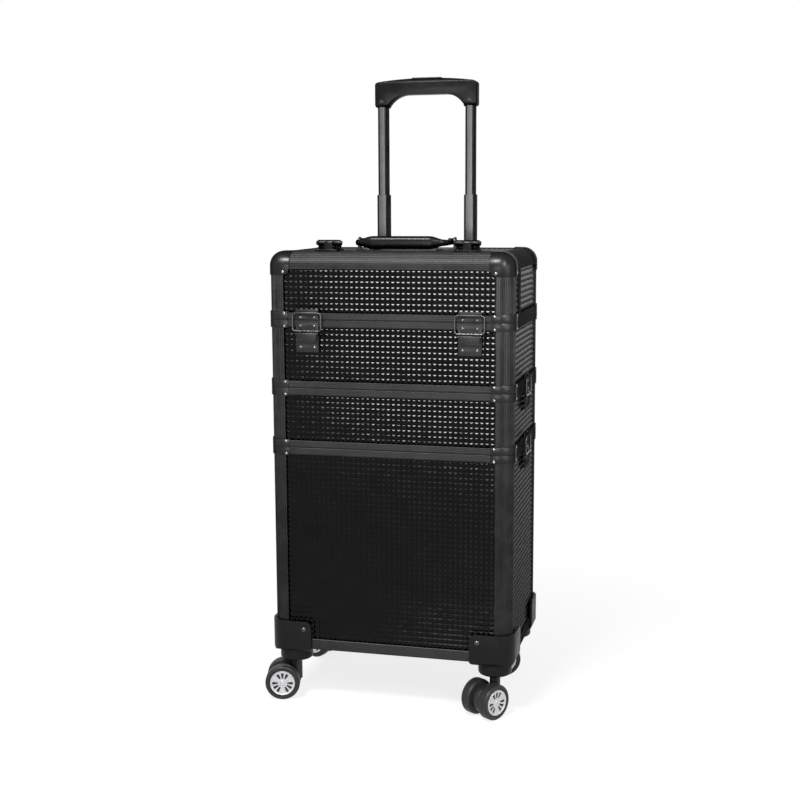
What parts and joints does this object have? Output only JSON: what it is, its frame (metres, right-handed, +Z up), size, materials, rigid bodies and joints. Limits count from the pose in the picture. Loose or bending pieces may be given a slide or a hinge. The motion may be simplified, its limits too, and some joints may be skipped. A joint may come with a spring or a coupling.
{
  "type": "rolling tiered case",
  "caption": "tall rolling case with stacked tiers held by side latches, a flap lid, corner guards, twin-wheel casters and a telescopic handle",
  "frame": {"origin": "on the floor under the middle of the case's plan", "axes": "+Z up, +X to the right seen from the front, +Y to the back, where the telescopic handle is"},
  "size_m": [0.3744, 0.2774, 0.8947],
  "materials": {
    "black_frame": "black anodised profiles, satin, ribbed lengthwise",
    "stud_panel": "glossy black sheet moulded with small square pyramids",
    "floor_board": "thin board covered in black felt",
    "black_steel": "black electrophoretic coat, semi-gloss",
    "guard_plastic": "black moulded plastic, fine spark texture",
    "plain_steel": "zinc plated screw heads",
    "handle_tube": "dark grey anodised tube, satin",
    "grip_plastic": "black moulded grip, fine grain",
    "button_plastic": "black moulded push button",
    "caster_plastic": "black glass-filled nylon",
    "wheel_tyre": "dark grey polyurethane tread with pale silver hubcap",
    "latch_wire": "dark nickel wire",
    "latch_lever": "black coated pressed steel"
  },
  "bodies": {
    "bin": {"bin_corner_posts": "black_frame", "bin_rims": "black_frame", "bin_wall_panels": "stud_panel", "bin_floor_panel": "floor_board", "bin_corner_brackets": "black_steel", "bottom_corner_guards": "guard_plastic", "guard_screws": "plain_steel", "caster_sockets": "guard_plastic", "outer_tubes": "handle_tube", "tube_clamps": "guard_plastic", "bin_latch_plates": "black_steel"},
    "middle_tier": {"middle_corner_posts": "black_frame", "middle_rims": "black_frame", "middle_wall_panels": "stud_panel", "middle_floor_panel": "floor_board", "middle_corner_brackets": "black_steel", "middle_latch_plates": "black_steel"},
    "top_tier": {"top_corner_posts": "black_frame", "top_rims": "black_frame", "top_wall_panels": "stud_panel", "top_floor_panel": "floor_board", "top_corner_brackets": "black_steel", "top_latch_plates": "black_steel", "lid_frame": "black_frame", "lid_panels": "stud_panel", "lid_ball_corners": "black_steel", "lid_hinge_leaves": "black_steel", "carry_handle_brackets": "black_steel"},
    "flap": {"flap_frame": "black_frame", "flap_panels": "stud_panel", "flap_ball_corners": "black_steel", "flap_hinge_leaves": "black_steel", "flap_latch_plates": "black_steel"},
    "carry_handle": {"carry_handle": "grip_plastic"},
    "lower_stage": {"lower_stage_tubes": "handle_tube"},
    "upper_stage": {"upper_stage_tubes": "handle_tube", "handle_grip": "grip_plastic", "grip_screws": "plain_steel"},
    "grip_button": {"grip_button": "button_plastic"},
    "front_left_bail": {"front_left_bail": "latch_wire"},
    "front_left_lever": {"front_left_lever": "latch_lever"},
    "front_right_bail": {"front_right_bail": "latch_wire"},
    "front_right_lever": {"front_right_lever": "latch_lever"},
    "upper_left_bail": {"upper_left_bail": "latch_wire"},
    "upper_left_lever": {"upper_left_lever": "latch_lever"},
    "upper_right_bail": {"upper_right_bail": "latch_wire"},
    "upper_right_lever": {"upper_right_lever": "latch_lever"},
    "lower_left_bail": {"lower_left_bail": "latch_wire"},
    "lower_left_lever": {"lower_left_lever": "latch_lever"},
    "lower_right_bail": {"lower_right_bail": "latch_wire"},
    "lower_right_lever": {"lower_right_lever": "latch_lever"},
    "front_left_caster": {"front_left_fork": "caster_plastic"},
    "front_left_wheels": {"front_left_wheels": "wheel_tyre"},
    "front_right_caster": {"front_right_fork": "caster_plastic"},
    "front_right_wheels": {"front_right_wheels": "wheel_tyre"},
    "rear_left_caster": {"rear_left_fork": "caster_plastic"},
    "rear_left_wheels": {"rear_left_wheels": "wheel_tyre"},
    "rear_right_caster": {"rear_right_fork": "caster_plastic"},
    "rear_right_wheels": {"rear_right_wheels": "wheel_tyre"}
  },
  "joints": [
    {"name": "middle_tier_lift", "type": "slide", "parent": "bin", "child": "middle_tier", "axis": [0, 0, 1], "range_m": [0, 0.12]},
    {"name": "top_tier_lift", "type": "slide", "parent": "middle_tier", "child": "top_tier", "axis": [0, 0, 1], "range_m": [0, 0.12]},
    {"name": "flap_swing", "type": "hinge", "parent": "top_tier", "child": "flap", "pos_m": [0, -0.0545, 0.655], "axis": [-1, 0, 0], "range_deg": [0, 100]},
    {"name": "carry_handle_swing", "type": "hinge", "parent": "top_tier", "child": "carry_handle", "pos_m": [0, 0, 0.656], "axis": [-1, 0, 0], "range_deg": [0, 175]},
    {"name": "lower_stage_slide", "type": "slide", "parent": "bin", "child": "lower_stage", "axis": [0, 0, 1], "range_m": [-0.075, 0]},
    {"name": "upper_stage_slide", "type": "slide", "parent": "lower_stage", "child": "upper_stage", "axis": [0, 0, 1], "range_m": [-0.126, 0]},
    {"name": "button_press", "type": "slide", "parent": "upper_stage", "child": "grip_button", "axis": [0, 0, -1], "range_m": [0, 0.003], "stiffness_N_per_m": 400, "springref_m": -0.001},
    {"name": "front_left_bail_swing", "type": "hinge", "parent": "flap", "child": "front_left_bail", "pos_m": [-0.114, -0.1163, 0.5608], "axis": [-1, 0, 0], "range_deg": [0, 150]},
    {"name": "front_left_lever_swing", "type": "hinge", "parent": "top_tier", "child": "front_left_lever", "pos_m": [-0.114, -0.1162, 0.5321], "axis": [-1, 0, 0], "range_deg": [0, 85]},
    {"name": "front_right_bail_swing", "type": "hinge", "parent": "flap", "child": "front_right_bail", "pos_m": [0.114, -0.1163, 0.5608], "axis": [-1, 0, 0], "range_deg": [0, 150]},
    {"name": "front_right_lever_swing", "type": "hinge", "parent": "top_tier", "child": "front_right_lever", "pos_m": [0.114, -0.1162, 0.5321], "axis": [-1, 0, 0], "range_deg": [0, 85]},
    {"name": "upper_left_bail_swing", "type": "hinge", "parent": "top_tier", "child": "upper_left_bail", "pos_m": [-0.1763, 0, 0.4658], "axis": [0, 1, 0], "range_deg": [0, 150]},
    {"name": "upper_left_lever_swing", "type": "hinge", "parent": "middle_tier", "child": "upper_left_lever", "pos_m": [-0.1762, 0, 0.4371], "axis": [0, 1, 0], "range_deg": [0, 85]},
    {"name": "upper_right_bail_swing", "type": "hinge", "parent": "top_tier", "child": "upper_right_bail", "pos_m": [0.1763, 0, 0.4658], "axis": [0, -1, 0], "range_deg": [0, 150]},
    {"name": "upper_right_lever_swing", "type": "hinge", "parent": "middle_tier", "child": "upper_right_lever", "pos_m": [0.1762, 0, 0.4371], "axis": [0, -1, 0], "range_deg": [0, 85]},
    {"name": "lower_left_bail_swing", "type": "hinge", "parent": "middle_tier", "child": "lower_left_bail", "pos_m": [-0.1763, 0, 0.3818], "axis": [0, 1, 0], "range_deg": [0, 150]},
    {"name": "lower_left_lever_swing", "type": "hinge", "parent": "bin", "child": "lower_left_lever", "pos_m": [-0.1762, 0, 0.3531], "axis": [0, 1, 0], "range_deg": [0, 85]},
    {"name": "lower_right_bail_swing", "type": "hinge", "parent": "middle_tier", "child": "lower_right_bail", "pos_m": [0.1763, 0, 0.3818], "axis": [0, -1, 0], "range_deg": [0, 150]},
    {"name": "lower_right_lever_swing", "type": "hinge", "parent": "bin", "child": "lower_right_lever", "pos_m": [0.1762, 0, 0.3531], "axis": [0, -1, 0], "range_deg": [0, 85]},
    {"name": "front_left_swivel", "type": "hinge", "parent": "bin", "child": "front_left_caster", "pos_m": [-0.146, -0.086, 0.058], "axis": [0, 0, 1], "continuous": true},
    {"name": "front_left_roll", "type": "hinge", "parent": "front_left_caster", "child": "front_left_wheels", "pos_m": [-0.16541, -0.09084, 0.025], "axis": [-0.2419, 0.9703, 0], "continuous": true},
    {"name": "front_right_swivel", "type": "hinge", "parent": "bin", "child": "front_right_caster", "pos_m": [0.146, -0.086, 0.058], "axis": [0, 0, 1], "continuous": true},
    {"name": "front_right_roll", "type": "hinge", "parent": "front_right_caster", "child": "front_right_wheels", "pos_m": [0.13511, -0.10277, 0.025], "axis": [-0.8387, 0.5446, 0], "continuous": true},
    {"name": "rear_left_swivel", "type": "hinge", "parent": "bin", "child": "rear_left_caster", "pos_m": [-0.146, 0.086, 0.058], "axis": [0, 0, 1], "continuous": true},
    {"name": "rear_left_roll", "type": "hinge", "parent": "rear_left_caster", "child": "rear_left_wheels", "pos_m": [-0.16479, 0.09284, 0.025], "axis": [0.342, 0.9397, 0], "continuous": true},
    {"name": "rear_right_swivel", "type": "hinge", "parent": "bin", "child": "rear_right_caster", "pos_m": [0.146, 0.086, 0.058], "axis": [0, 0, 1], "continuous": true},
    {"name": "rear_right_roll", "type": "hinge", "parent": "rear_right_caster", "child": "rear_right_wheels", "pos_m": [0.12721, 0.07916, 0.025], "axis": [-0.342, 0.9397, 0], "continuous": true}
  ]
}
